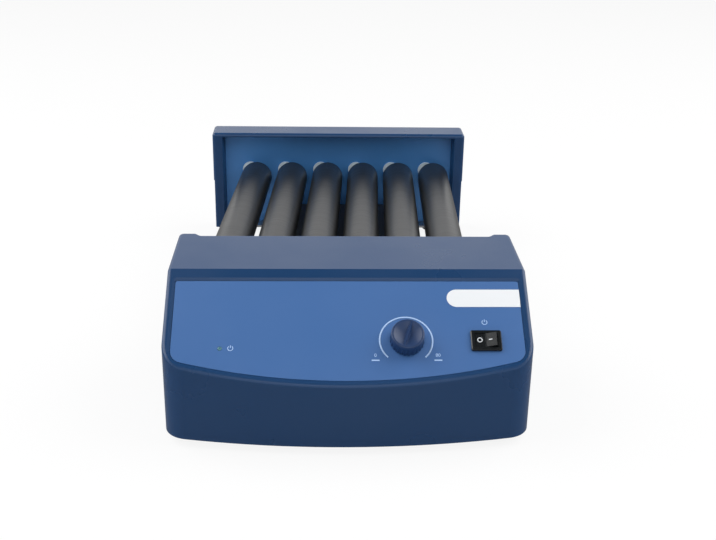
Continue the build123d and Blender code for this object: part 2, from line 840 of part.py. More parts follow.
def roller_caps(x):
    """Two end caps: a flange over the tube's end, a spigot inside it and a boss round the journal."""
    caps = []
    for end in (-1, 1):
        flange_middle = (roller_length - cap_flange) / 2
        flange = Pos(0, 0, end * flange_middle) * Cylinder(roller_diameter / 2, cap_flange)
        outer_edge = flange.edges().sort_by(Axis.Z)[-1 if end > 0 else 0]
        flange = fillet(outer_edge, cap_edge_radius)
        spigot_middle = roller_length / 2 - cap_flange - cap_spigot / 2
        spigot = Pos(0, 0, end * spigot_middle) * Cylinder(roller_diameter / 2 - roller_wall, cap_spigot)
        y_face = y_bed_middle + end * end_station
        y_boss = y_face + end * cap_boss_length
        boss = rod_y(x, z_axis, y_face - end * cap_flange, y_boss, cap_boss_diameter)
        cap = roller_frame(x) * (flange + spigot) + boss
        caps.append(cap - rod_y(x, z_axis, *journal_span(end), journal_diameter))
    return group(caps)


def roller_journals(x):
    """The two steel journals, both on the fixed turning axis."""
    return group([rod_y(x, z_axis, *journal_span(end), journal_diameter) for end in (-1, 1)])


def roller_bushes():
    """White flanged bushes at both ends of every roller, with the flange on the bed side."""
    pieces = []
    for y, away in ((y_front_plate, -1), (y_rear_plate, 1)):
        for x in roller_xs:
            y_tail = y + away * (plate_thickness + bush_tail)
            bush = rod_y(x, z_axis, y, y - away * bush_flange, bush_flange_diameter)
            bush = bush + rod_y(x, z_axis, y, y_tail, bush_body_diameter)
            reach = bush_flange + plate_thickness + bush_tail
            bore = rod_y(x, z_axis, y - reach, y + reach, journal_diameter + 2 * running_gap)
            pieces.append(bush - bore)
    return group(pieces)


# Gear train


def involute(angle):
    return math.tan(angle) - angle


def gear_face(teeth, phase):
    """Spur gear outline; phase is the angle of one tooth's centre, in degrees."""
    pitch_radius = module * teeth / 2
    base_radius = pitch_radius * math.cos(math.radians(pressure_angle))
    radii = (pitch_radius - dedendum * module, pitch_radius, pitch_radius + addendum * module)
    half_at_pitch = (math.pi * module / 2 - backlash) / (2 * pitch_radius)

    def half_angle(radius):
        pressure = math.acos(min(1.0, base_radius / max(radius, base_radius)))
        return half_at_pitch + involute(math.radians(pressure_angle)) - involute(pressure)

    def point(radius, angle):
        return (radius * math.cos(angle), radius * math.sin(angle))

    edges = []
    step = 2 * math.pi / teeth
    halves = [half_angle(radius) for radius in radii]
    for i in range(teeth):
        centre = math.radians(phase) + i * step
        rise = [point(radius, centre - half) for radius, half in zip(radii, halves)]
        fall = [point(radius, centre + half) for radius, half in zip(radii[::-1], halves[::-1])]
        following = point(radii[0], centre + step - halves[0])
        edges.append(ThreePointArc(*rise))
        edges.append(ThreePointArc(rise[2], point(radii[2], centre), fall[0]))
        edges.append(ThreePointArc(*fall))
        edges.append(ThreePointArc(fall[2], point(radii[0], centre + step / 2), following))
    return make_face(edges)


def gear(teeth, phase, x, z, bore, hub):
    """A gear in the train's plane, with a thinner web where there is room between rim and hub."""
    frame = Plane(origin=(x, y_gear - gear_width, z), x_dir=(1, 0, 0), z_dir=BACK)
    body = extrude(gear_face(teeth, phase), gear_width)
    rim = module * (teeth / 2 - dedendum) - gear_rim
    if rim > hub / 2 + gear_rim:
        dish = Cylinder(rim, gear_dish, align=RISE) - Cylinder(hub / 2, gear_dish, align=RISE)
        body = body - dish - Pos(0, 0, gear_width - gear_dish) * dish
    return frame * (body - Cylinder(bore / 2, 3 * gear_width))


def mesh_phase(teeth_a, phase_a, teeth_b, direction):
    """Phase that meshes gear b with gear a, when b lies from a in that direction."""
    share = ((direction - phase_a) * teeth_a / 360) % 1
    return direction + 180 - (0.5 - share) * 360 / teeth_b


def train_phases():
    """Phases of the roller gears, the idlers and the pinion, all in mesh at rest."""
    rollers, idlers = [0.0], []
    for _ in idler_xs:
        idlers.append(mesh_phase(roller_teeth, rollers[-1], idler_teeth, 0))
        rollers.append(mesh_phase(idler_teeth, idlers[-1], roller_teeth, 0))
    return rollers, idlers, mesh_phase(idler_teeth, idlers[driven_idler], pinion_teeth, 90)


def idler_axles():
    """Headed pins pressed into the front plate, with a collar behind each idler."""
    pins = []
    y_head = y_gear - gear_width
    y_seat = y_front_plate - plate_thickness
    for x in idler_xs:
        pin = rod_y(x, z_axis, y_head - idler_head, y_front_plate, idler_axle_diameter)
        head = rod_y(x, z_axis, y_head - idler_head, y_head - running_gap, idler_head_diameter)
        collar = rod_y(x, z_axis, y_gear + running_gap, y_seat, idler_head_diameter)
        pins.append(pin + head + collar)
    return group(pins)


# Motor and its plate


def motor_plate():
    half = motor_plate_width / 2
    zs = (z_axis - motor_plate_below, z_axis + motor_plate_above)
    plate = block(motor_x - half, motor_x + half, y_motor, y_motor_plate, *zs)
    plate = fillet(plate.edges().filter_by(Axis.Y), motor_plate_radius)
    boss_hole = motor_boss_diameter + 2 * assembly_gap
    plate = plate - rod_y(motor_x, motor_z, y_motor, y_motor_plate, boss_hole)
    return drilled(plate, standoff_screw_places() + motor_screw_places())


def motor_standoffs():
    """Tapped posts between the two plates."""
    y_far = y_front_plate - plate_thickness
    posts = []
    for x, z in standoff_places():
        post = rod_y(x, z, y_motor_plate, y_far, standoff_diameter)
        posts.append(post - rod_y(x, z, y_motor_plate, y_far, screw_diameter))
    return group(posts)


def drive_motor():
    """Gear motor: gearbox, can, rear cap and an output boss; its shaft turns in its own bore."""
    y_can = y_motor - gearbox_length
    y_cap = y_can - motor_length
    motor = rod_y(motor_x, motor_z, y_can, y_motor, gearbox_diameter)
    motor = motor + rod_y(motor_x, motor_z, y_cap, y_can, motor_diameter)
    motor = motor + rod_y(motor_x, motor_z, y_cap - motor_cap_length, y_cap, motor_cap_diameter)
    motor = motor + rod_y(motor_x, motor_z, y_motor, y_motor + motor_boss_length, motor_boss_diameter)
    bore = motor_shaft_diameter + 2 * running_gap
    motor = motor - rod_y(motor_x, motor_z, y_motor - gearbox_length / 2, y_motor_plate, bore)
    return drilled(motor, motor_screw_places())


def motor_shaft():
    y_inner = y_motor - gearbox_length / 2 + assembly_gap
    return rod_y(motor_x, motor_z, y_inner, y_gear + journal_tail / 2, motor_shaft_diameter)


# Feet, board and leads


def rubber_feet():
    feet = []
    for x, y, z in foot_places():
        foot = rod((x, y, 0), UP, foot_height, foot_diameter)
        foot = fillet(foot.edges().group_by(Axis.Z)[0], foot_edge_radius)
        foot = foot - rod((x, y, 0), UP, foot_recess, foot_recess_diameter)
        feet.append(foot - rod((x, y, 0), UP, foot_height, screw_diameter))
    return group(feet)


def board_posts():
    posts = []
    for x, y in board_corners():
        post = rod((x, y, z_base), UP, board_lift, board_post_diameter)
        posts.append(post - rod((x, y, z_base), UP, board_lift, screw_diameter))
    return group(posts)


def control_board():
    board = Pos(board_x, y_board, z_board) * Box(board_width, board_depth, board_thickness, align=RISE)
    return drilled(board, [((x, y, z_board + board_thickness), DOWN) for x, y in board_corners()])


header_y = y_board + board_depth / 2 - header_inset
header_top = z_board + board_thickness + header_height


def board_parts():
    """The board's tall parts: reservoir capacitor, finned heat sink, driver module and lead header."""
    deck = Pos(board_x, y_board, z_board + board_thickness)
    capacitor = Pos(*capacitor_place) * Cylinder(capacitor_diameter / 2, capacitor_height, align=RISE)
    sink = Box(*sink_size, align=RISE)
    width, depth, height = sink_size
    for i in (-1, 0, 1):
        sink = sink - Pos(i * sink_slot_pitch, 0, sink_base) * Box(sink_slot, depth, height, align=RISE)
    driver = Pos(*driver_place) * Box(*driver_size, align=RISE)
    header = Box(header_length, header_width, header_height, align=SINK)
    header = Pos(board_x, header_y, header_top) * header
    return group([deck * capacitor, deck * Pos(*sink_place) * sink, deck * driver, header])


def bend_radius(before, corner, after):
    """The lead's usual bend, or the largest that the two runs beside a corner leave room for."""
    run_in, run_out = corner - before, after - corner
    half_turn = math.radians(run_in.get_angle(run_out)) / 2
    room = lead_run_share * min(run_in.length, run_out.length) / math.tan(half_turn)
    return min(lead_bend, room)


def lead(start, direction, slot, step, passing=()):
    """A round lead from a device to its slot of the board's header, by way of any points in passing."""
    x = board_x + slot * lead_pitch
    out = Vector(*start) + Vector(*direction) * lead_start
    above = (x, header_y, header_top + lead_rise + step * lead_step)
    stops = [Vector(*start), out, *[Vector(*stop) for stop in passing], Vector(*above)]
    stops.append(Vector(x, header_y, header_top))
    radii = [bend_radius(*three) for three in zip(stops, stops[1:], stops[2:])]
    section = Plane(origin=start, z_dir=direction) * Circle(lead_diameter / 2)
    return sweep(section, path=FilletPolyline(*stops, radius=radii))


def internal_leads():
    """Leads from the inlet, lamp, motor, control and switch, which pass in front of the motor."""
    y_cap = y_motor - gearbox_length - motor_length - motor_cap_length
    y_pass = y_cap - lead_pass
    x_pass = motor_x + lead_start
    z_pass = header_top + lead_rise + lead_step / 2
    inlet = jack_frame.origin + Vector(jack_length, 0, 0)
    lamp = panel_point(led_x, led_drop, -wall - led_body)
    control = panel_point(knob_x, knob_drop, -wall - pot_body_length)
    leads = [
        lead(inlet, (1, 0, 0), -2.5, 0),
        lead(lamp, inward, -1.5, 1),
        lead((motor_x, y_cap, motor_z), FRONT, -0.5, 3),
        lead(control, inward, 0.5, 2, [(x_pass, y_pass + lead_step, z_pass + lead_step)]),
    ]
    tip = overlay_face - switch_body_depth - terminal_length
    for i, side in enumerate((-1, 1)):
        end = panel_point(switch_x + side * terminal_pitch / 2, switch_drop, tip)
        turn = (x_pass, y_pass - i * lead_step, z_pass - i * lead_step)
        leads.append(lead(end, inward, 1.5 + i, 1 - i, [turn]))
    return group(leads)


# The list of nodes


def make_nodes():
    roller_phases, idler_phases, pinion_phase = train_phases()
    pinion_bore, pinion_hub = motor_shaft_diameter, motor_cap_diameter
    nodes = {
        "front_cover": front_cover(),
        "panel_overlay": panel_overlay(),
        "blank_label": blank_label(),
        "speed_knob": speed_knob(),
        "knob_shaft": knob_shaft(),
        "speed_control": speed_control(),
        "control_nut": control_nut(),
        "switch_body": switch_body(),
        "switch_rocker": switch_rocker(),
        "power_led": power_led(),
        "front_base": front_base(),
        "front_plate": front_plate(),
        "rear_base": rear_base(),
        "rear_plate": rear_plate(),
        "rear_cover": rear_cover(),
        "base_beam": base_beam(),
        "roller_bushes": roller_bushes(),
        "idler_axles": idler_axles(),
        "motor_plate": motor_plate(),
        "motor_standoffs": motor_standoffs(),
        "drive_motor": drive_motor(),
        "motor_shaft": motor_shaft(),
        "motor_pinion": gear(pinion_teeth, pinion_phase, motor_x, motor_z, pinion_bore, pinion_hub),
        "control_board": control_board(),
        "board_posts": board_posts(),
        "board_parts": board_parts(),
        "internal_leads": internal_leads(),
        "power_jack": power_jack(),
        "case_screws": case_screws(),
        "rubber_feet": rubber_feet(),
    }
    for i, x in enumerate(roller_xs):
        nodes[f"roller_{i + 1}_tube"] = roller_tube(x)
        nodes[f"roller_{i + 1}_caps"] = roller_caps(x)
        nodes[f"roller_{i + 1}_journals"] = roller_journals(x)
        phase, hub = roller_phases[i], 2 * journal_diameter
        nodes[f"roller_{i + 1}_gear"] = gear(roller_teeth, phase, x, z_axis, journal_diameter, hub)
    for i, x in enumerate(idler_xs):
        phase, bore = idler_phases[i], idler_axle_diameter + 2 * running_gap
        nodes[f"idler_{i + 1}_gear"] = gear(idler_teeth, phase, x, z_axis, bore, idler_head_diameter)
    return nodes


os.makedirs("parts", exist_ok=True)
for name, shape in make_nodes().items():
    export_step(shape, f"parts/{name}.step")
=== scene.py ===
import json
import math

import bpy
from mathutils import Matrix, Vector


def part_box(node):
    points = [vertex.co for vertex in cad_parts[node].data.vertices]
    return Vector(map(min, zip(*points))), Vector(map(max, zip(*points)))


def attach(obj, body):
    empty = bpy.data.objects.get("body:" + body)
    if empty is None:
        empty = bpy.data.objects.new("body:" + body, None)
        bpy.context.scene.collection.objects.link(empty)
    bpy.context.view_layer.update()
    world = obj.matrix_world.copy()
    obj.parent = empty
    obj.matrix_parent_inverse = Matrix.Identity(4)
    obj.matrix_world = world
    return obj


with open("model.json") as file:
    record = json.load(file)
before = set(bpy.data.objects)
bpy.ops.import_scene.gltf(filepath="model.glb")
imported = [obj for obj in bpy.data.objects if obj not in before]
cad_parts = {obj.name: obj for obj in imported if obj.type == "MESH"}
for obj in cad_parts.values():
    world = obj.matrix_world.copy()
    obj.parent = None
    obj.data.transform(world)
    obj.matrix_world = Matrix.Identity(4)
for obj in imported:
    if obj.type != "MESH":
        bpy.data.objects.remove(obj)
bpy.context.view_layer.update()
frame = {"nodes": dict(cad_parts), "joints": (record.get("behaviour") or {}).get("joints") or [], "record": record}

MM = 0.001

# The sloped panel's own frame, worked out from the speed knob's joint: X right, Y up the slope, Z outwards
JOINTS = {joint["name"]: joint for joint in frame["joints"]}
KNOB = JOINTS["speed_knob_turn"]
SWITCH = JOINTS["power_switch_rock"]
OUTWARD = Vector(KNOB["axis"]).normalized()
RIGHT = Vector((1, 0, 0))
UPWARD = OUTWARD.cross(RIGHT)
KNOB_CENTRE = Vector(KNOB["pos_m"])
OVERLAY_DEPTH = 0.6 * MM
PRINT_HEIGHT = 0.05 * MM


def on_panel(centre, right=0.0, down=0.0, lift=0.0, turn=0.0):
    """Matrix of a place on the overlay's face, right of and down the slope from a point on the sloped face."""
    place = centre + RIGHT * right - UPWARD * down + OUTWARD * (lift - OVERLAY_DEPTH)
    axes = Matrix((RIGHT, UPWARD, OUTWARD)).transposed().to_4x4()
    return Matrix.Translation(place) @ axes @ Matrix.Rotation(turn, 4, "Z")


# Camera at the photograph's viewing angle

VIEW_PLACE = Vector((-20.7, -845.7, 394.5)) * MM
VIEW_DOWN = math.radians(22.725)
VIEW_TURN = math.radians(2.414)
VIEW_ROLL = math.radians(-1.037)
PICTURE_WIDTH = 716
FOCAL_PIXELS = 1095.7
CENTRE_PIXELS = 2.17
SENSOR_WIDTH = 36.0
NEAREST = 0.05
FARTHEST = 50.0


def make_camera():
    ahead = Vector((math.sin(VIEW_TURN), math.cos(VIEW_TURN), 0))
    side = Vector((math.cos(VIEW_TURN), -math.sin(VIEW_TURN), 0))
    below = Vector((0, 0, -1))
    forward = ahead * math.cos(VIEW_DOWN) + below * math.sin(VIEW_DOWN)
    falling = below * math.cos(VIEW_DOWN) - ahead * math.sin(VIEW_DOWN)
    right = side * math.cos(VIEW_ROLL) + falling * math.sin(VIEW_ROLL)
    down = falling * math.cos(VIEW_ROLL) - side * math.sin(VIEW_ROLL)
    data = bpy.data.cameras.new("camera")
    data.sensor_width = SENSOR_WIDTH
    data.lens = SENSOR_WIDTH * FOCAL_PIXELS / PICTURE_WIDTH
    data.shift_x = -CENTRE_PIXELS / PICTURE_WIDTH
    data.clip_start = NEAREST
    data.clip_end = FARTHEST
    camera = bpy.data.objects.new("camera", data)
    turn = Matrix((right, -down, -forward)).transposed().to_4x4()
    camera.matrix_world = Matrix.Translation(VIEW_PLACE) @ turn
    bpy.context.scene.collection.objects.link(camera)
    bpy.context.scene.camera = camera


# Node building


def plain(red, green, blue):
    """A colour as it shows on screen, from 0 to 255, in Blender's linear values."""
    def linear(value):
        share = value / 255
        return share / 12.92 if share <= 0.04045 else ((share + 0.055) / 1.055) ** 2.4
    return (linear(red), linear(green), linear(blue), 1.0)


def new_group(name, kind, inputs, outputs):
    """An empty node group with named sockets, and its two end nodes."""
    tree = bpy.data.node_groups.new(name, kind)
    for socket, socket_type, value in inputs:
        made = tree.interface.new_socket(name=socket, in_out="INPUT", socket_type=socket_type)
        if value is not None:
            made.default_value = value
    for socket, socket_type in outputs:
        tree.interface.new_socket(name=socket, in_out="OUTPUT", socket_type=socket_type)
    return tree, tree.nodes.new("NodeGroupInput"), tree.nodes.new("NodeGroupOutput")


def node(tree, kind, values=(), **settings):
    made = tree.nodes.new(kind)
    for name, value in settings.items():
        setattr(made, name, value)
    for socket, value in dict(values).items():
        made.inputs[socket].default_value = value
    return made


def link(tree, start, end):
    tree.links.new(start, end)


def mix_colour(tree, share, first, second):
    """A Mix node between two colours; each of the three may be a socket or a value."""
    made = tree.nodes.new("ShaderNodeMix")
    made.data_type = "RGBA"
    sockets = {0: share, 6: first, 7: second}
    for index, value in sockets.items():
        if isinstance(value, bpy.types.NodeSocket):
            link(tree, value, made.inputs[index])
        else:
            made.inputs[index].default_value = value
    return made.outputs[2]


def remap(tree, value, low, high, new_low, new_high):
    made = node(tree, "ShaderNodeMapRange", {1: low, 2: high, 3: new_low, 4: new_high})
    link(tree, value, made.inputs[0])
    return made.outputs[0]


# Surface effects that more than one finish shares

FLOAT, COLOUR, VECTOR = "NodeSocketFloat", "NodeSocketColor", "NodeSocketVector"
DRIFT_RANGE = (0.35, 0.7)
SPREAD_RANGE = (0.3, 0.7)
STREAK_RANGE = (0.4, 0.7)
STREAK_ROUGHENING = 0.12
GRAIN_RELIEF_SHARE = 0.3
STREAK_RELIEF = 0.02 * MM


def grain_group():
    """Fine moulded or sprayed texture: slow colour drift, roughness that varies, and a small height."""
    tree, start, end = new_group(
        "surface_grain",
        "ShaderNodeTree",
        [
            ("Vector", VECTOR, None),
            ("Colour", COLOUR, (0.5, 0.5, 0.5, 1)),
            ("Drift", FLOAT, 0.08),
            ("Grain size", FLOAT, 0.0005),
            ("Roughness", FLOAT, 0.4),
            ("Roughness spread", FLOAT, 0.06),
        ],
        [("Colour", COLOUR), ("Roughness", FLOAT), ("Height", FLOAT)],
    )
    drift = node(tree, "ShaderNodeTexNoise", {"Scale": 14.0, "Detail": 4.0, "Roughness": 0.55})
    link(tree, start.outputs["Vector"], drift.inputs["Vector"])
    inverse = node(tree, "ShaderNodeMath", {0: 1.0}, operation="DIVIDE")
    link(tree, start.outputs["Grain size"], inverse.inputs[1])
    grain = node(tree, "ShaderNodeTexNoise", {"Detail": 2.0, "Roughness": 0.6})
    link(tree, start.outputs["Vector"], grain.inputs["Vector"])
    link(tree, inverse.outputs[0], grain.inputs["Scale"])
    lighter = node(tree, "ShaderNodeHueSaturation", {"Value": 1.35, "Saturation": 0.95})
    link(tree, start.outputs["Colour"], lighter.inputs["Color"])
    amount = node(tree, "ShaderNodeMath", operation="MULTIPLY")
    link(tree, remap(tree, drift.outputs["Fac"], *DRIFT_RANGE, 0.0, 1.0), amount.inputs[0])
    link(tree, start.outputs["Drift"], amount.inputs[1])
    colour = mix_colour(tree, amount.outputs[0], start.outputs["Colour"], lighter.outputs["Color"])
    link(tree, colour, end.inputs["Colour"])
    spread = node(tree, "ShaderNodeMath", operation="MULTIPLY")
    link(tree, remap(tree, drift.outputs["Fac"], *SPREAD_RANGE, -1.0, 1.0), spread.inputs[0])
    link(tree, start.outputs["Roughness spread"], spread.inputs[1])
    total = node(tree, "ShaderNodeMath", operation="ADD")
    link(tree, start.outputs["Roughness"], total.inputs[0])
    link(tree, spread.outputs[0], total.inputs[1])
    link(tree, total.outputs[0], end.inputs["Roughness"])
    link(tree, grain.outputs["Fac"], end.inputs["Height"])
    return tree


def streak_group():
    """Fine lines from turning or brushing: noise stretched along one direction."""
    tree, start, end = new_group(
        "tool_streaks",
        "ShaderNodeTree",
        [
            ("Vector", VECTOR, None),
            ("Across", VECTOR, (40.0, 2500.0, 40.0)),
            ("Colour", COLOUR, (0.5, 0.5, 0.5, 1)),
            ("Streak colour", COLOUR, (0.6, 0.6, 0.6, 1)),
            ("Amount", FLOAT, 0.3),
            ("Roughness", FLOAT, 0.35),
        ],
        [("Colour", COLOUR), ("Roughness", FLOAT), ("Height", FLOAT)],
    )
    stretch = node(tree, "ShaderNodeVectorMath", operation="MULTIPLY")
    link(tree, start.outputs["Vector"], stretch.inputs[0])
    link(tree, start.outputs["Across"], stretch.inputs[1])
    lines = node(tree, "ShaderNodeTexNoise", {"Scale": 1.0, "Detail": 3.0, "Roughness": 0.6})
    link(tree, stretch.outputs[0], lines.inputs["Vector"])
    mask = remap(tree, lines.outputs["Fac"], *STREAK_RANGE, 0.0, 1.0)
    amount = node(tree, "ShaderNodeMath", operation="MULTIPLY")
    link(tree, mask, amount.inputs[0])
    link(tree, start.outputs["Amount"], amount.inputs[1])
    colour = mix_colour(tree, amount.outputs[0], start.outputs["Colour"], start.outputs["Streak colour"])
    link(tree, colour, end.inputs["Colour"])
    rough = node(tree, "ShaderNodeMath", {1: STREAK_ROUGHENING}, operation="MULTIPLY_ADD")
    link(tree, mask, rough.inputs[0])
    link(tree, start.outputs["Roughness"], rough.inputs[2])
    link(tree, rough.outputs[0], end.inputs["Roughness"])
    link(tree, lines.outputs["Fac"], end.inputs["Height"])
    return tree


GROUPS = {}


def shared(name, maker):
    if name not in GROUPS:
        GROUPS[name] = maker()
    return GROUPS[name]


def new_material(name, shader_values):
    """A material with its Principled shader, whose constant values are set on its own sockets."""
    made = bpy.data.materials.new(name)
    made.use_nodes = True
    tree = made.node_tree
    shader = tree.nodes["Principled BSDF"]
    for socket, value in shader_values.items():
        shader.inputs[socket].default_value = value
    return made, tree, shader


def finish_with(tree, shader, group, values, bump, bump_size):
    """Feeds the shader's colour, roughness and normal from a shared effect on Object coordinates."""
    place = node(tree, "ShaderNodeTexCoord")
    effect = node(tree, "ShaderNodeGroup", node_tree=group)
    for socket, value in values.items():
        effect.inputs[socket].default_value = value
    link(tree, place.outputs["Object"], effect.inputs["Vector"])
    link(tree, effect.outputs["Colour"], shader.inputs["Base Color"])
    link(tree, effect.outputs["Roughness"], shader.inputs["Roughness"])
    relief = node(tree, "ShaderNodeBump", {"Strength": bump, "Distance": bump_size})
    link(tree, effect.outputs["Height"], relief.inputs["Height"])
    link(tree, relief.outputs["Normal"], shader.inputs["Normal"])


def grained(name, colour, roughness, grain=0.5 * MM, drift=0.12, bump=0.25, spread=0.05, **shader_values):
    made, tree, shader = new_material(name, shader_values)
    values = {
        "Colour": colour,
        "Drift": drift,
        "Grain size": grain,
        "Roughness": roughness,
        "Roughness spread": spread,
    }
    finish_with(tree, shader, shared("grain", grain_group), values, bump, grain * GRAIN_RELIEF_SHARE)
    return made


def streaked(name, colour, streak, roughness, across, amount=0.4, bump=0.15, **shader_values):
    made, tree, shader = new_material(name, shader_values)
    values = {
        "Across": across,
        "Colour": colour,
        "Streak colour": streak,
        "Amount": amount,
        "Roughness": roughness,
    }
    finish_with(tree, shader, shared("streaks", streak_group), values, bump, STREAK_RELIEF)
    return made


# Finishes, one for each material slot of the record, and one for the beam alone

SATIN = {"Specular IOR Level": 0.45}
SHINY = {"Specular IOR Level": 0.7}
GLOSSY_FILM = {"Coat Weight": 0.6}
LENGTHWISE = (900.0, 12.0, 900.0)
ROUND_THE_AXIS = (30.0, 2200.0, 30.0)


def make_finishes():
    return {
        "housing_blue": grained("housing_blue", plain(18, 59, 102), 0.3, drift=0.06, bump=0.12, **SATIN),
        "panel_blue": grained(
            "panel_blue", plain(66, 108, 166), 0.38, grain=0.3 * MM, drift=0.04, bump=0.06, **SATIN
        ),
        "label_white": grained("label_white", plain(240, 243, 246), 0.35, grain=0.3 * MM, drift=0.0, bump=0.05),
        "plate_blue": grained("plate_blue", plain(74, 138, 206), 0.4, grain=0.9 * MM, bump=0.25, **SATIN),
        "roller_black": streaked(
            "roller_black", plain(15, 17, 19), plain(24, 27, 29), 0.3, ROUND_THE_AXIS, amount=0.4, **SHINY
        ),
        "cap_black": grained("cap_black", plain(14, 18, 24), 0.36, grain=0.4 * MM),
        "steel": streaked(
            "steel", plain(176, 178, 180), plain(200, 201, 203), 0.28, LENGTHWISE, amount=0.6, Metallic=1.0
        ),
        "zinc_sheet": grained(
            "zinc_sheet", plain(168, 171, 174), 0.38, grain=4.0 * MM, drift=0.5, bump=0.03, Metallic=1.0
        ),
        # Bushes: white acetal, with a bluish tint in the base colour that is a painted reflection of the blue
        # plate behind them
        "acetal_white": grained("acetal_white", plain(228, 244, 255), 0.42, grain=0.6 * MM, drift=0.05, bump=0.1),
        "knob_black": grained("knob_black", plain(20, 50, 92), 0.34, grain=0.25 * MM, bump=0.1),
        "switch_black": grained("switch_black", plain(12, 17, 20), 0.26, grain=0.25 * MM, bump=0.06),
        "lens_green": grained(
            "lens_green", plain(70, 122, 132), 0.2, grain=0.4 * MM, bump=0.02, **GLOSSY_FILM
        ),
        "motor_steel": streaked(
            "motor_steel", plain(190, 192, 194), plain(214, 215, 216), 0.3, ROUND_THE_AXIS, Metallic=1.0
        ),
        "board_green": grained("board_green", plain(26, 104, 62), 0.35, grain=1.2 * MM, drift=0.3, bump=0.2),
        "beam_grey": grained("beam_grey", plain(92, 96, 102), 0.45, grain=0.8 * MM, drift=0.15, bump=0.2),
        "parts_black": grained("parts_black", plain(36, 37, 40), 0.45, grain=0.3 * MM),
        "lead_grey": grained("lead_grey", plain(120, 124, 128), 0.5, grain=0.8 * MM),
        "foot_rubber": grained("foot_rubber", plain(30, 30, 31), 0.75, grain=0.35 * MM, drift=0.3, bump=0.4),
    }


def print_finish(name, colour):
    """Screen-printed ink, a little uneven at its edges."""
    return grained(name, colour, 0.5, grain=0.2 * MM, drift=0.1, bump=0.15)


OWN_FINISH = {"base_beam": "beam_grey"}


def dress_nodes(finishes):
    for entry in frame["record"]["subparts"]:
        mesh = frame["nodes"][entry["node"]].data
        mesh.materials.clear()
        finish = OWN_FINISH.get(entry["node"], entry["material_slot"])
        mesh.materials.append(finishes[finish])


# Printed marks and the marks on the switch


def solid_piece(name, mesh, material, body, place):
    """A mesh piece that rides on a body, with its place in its mesh."""
    mesh.name = name
    mesh.transform(place)
    mesh.materials.clear()
    mesh.materials.append(material)
    piece = bpy.data.objects.new(name, mesh)
    bpy.context.scene.collection.objects.link(piece)
    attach(piece, body)


ARC_POINTS = 96


def arc_tree():
    """Geometry nodes for a flat printed arc or ring: a centre line swept with a thin rectangle."""
    tree, start, end = new_group(
        "printed_arc",
        "GeometryNodeTree",
        [
            ("Radius", FLOAT, 0.01),
            ("Start", FLOAT, 0.0),
            ("Sweep", FLOAT, 1.0),
            ("Line width", FLOAT, 0.001),
            ("Thickness", FLOAT, 0.0001),
            ("Material", "NodeSocketMaterial", None),
        ],
        [("Geometry", "NodeSocketGeometry")],
    )
    arc = node(tree, "GeometryNodeCurveArc", {"Resolution": ARC_POINTS})
    line = node(tree, "GeometryNodeCurvePrimitiveQuadrilateral")
    for source, target in (
        ("Radius", arc.inputs["Radius"]),
        ("Start", arc.inputs["Start Angle"]),
        ("Sweep", arc.inputs["Sweep Angle"]),
        ("Line width", line.inputs["Width"]),
        ("Thickness", line.inputs["Height"]),
    ):
        link(tree, start.outputs[source], target)
    sweep = node(tree, "GeometryNodeCurveToMesh", {"Fill Caps": True})
    link(tree, arc.outputs["Curve"], sweep.inputs["Curve"])
    link(tree, line.outputs["Curve"], sweep.inputs["Profile Curve"])
    real = node(tree, "GeometryNodeRealizeInstances")
    link(tree, sweep.outputs["Mesh"], real.inputs["Geometry"])
    ink = node(tree, "GeometryNodeSetMaterial")
    link(tree, real.outputs["Geometry"], ink.inputs["Geometry"])
    link(tree, start.outputs["Material"], ink.inputs["Material"])
    link(tree, ink.outputs["Geometry"], end.inputs["Geometry"])
    return tree


def grown(tree, values):
    """The plain mesh that a geometry tree makes with these inputs."""
    seed = bpy.data.objects.new("seed", bpy.data.meshes.new("seed"))
    bpy.context.scene.collection.objects.link(seed)
    modifier = seed.modifiers.new("grow", "NODES")
    modifier.node_group = tree
    for item in tree.interface.items_tree:
        if item.item_type == "SOCKET" and item.in_out == "INPUT" and item.name in values:
            modifier[item.identifier] = values[item.name]
    seed.update_tag()
    graph = bpy.context.evaluated_depsgraph_get()
    mesh = bpy.data.meshes.new_from_object(seed.evaluated_get(graph))
    bpy.data.objects.remove(seed)
    return mesh


def arc_mesh(radius, half_gap, width, ink):
    """A printed arc about its centre, open by half_gap each side of straight down."""
    values = {
        "Radius": radius,
        "Start": -math.pi / 2 + half_gap,
        "Sweep": 2 * math.pi - 2 * half_gap,
        "Line width": width,
        "Thickness": PRINT_HEIGHT,
        "Material": ink,
    }
    return grown(shared("arc", arc_tree), values)


def number_mesh(text, height):
    curve = bpy.data.curves.new("number", "FONT")
    curve.body = text
    curve.size = height
    curve.align_x = "CENTER"
    curve.align_y = "CENTER"
    curve.extrude = PRINT_HEIGHT / 2
    holder = bpy.data.objects.new("number", curve)
    bpy.context.scene.collection.objects.link(holder)
    graph = bpy.context.evaluated_depsgraph_get()
    mesh = bpy.data.meshes.new_from_object(holder.evaluated_get(graph))
    bpy.data.objects.remove(holder)
    return mesh


def bar_mesh(width, height, thickness):
    x, y, z = width / 2, height / 2, thickness / 2
    corners = [(sx * x, sy * y, sz * z) for sz in (-1, 1) for sy in (-1, 1) for sx in (-1, 1)]
    faces = [(0, 2, 3, 1), (4, 5, 7, 6), (0, 1, 5, 4), (2, 6, 7, 3), (0, 4, 6, 2), (1, 3, 7, 5)]
    mesh = bpy.data.meshes.new("bar")
    mesh.from_pydata(corners, [], faces)
    return mesh


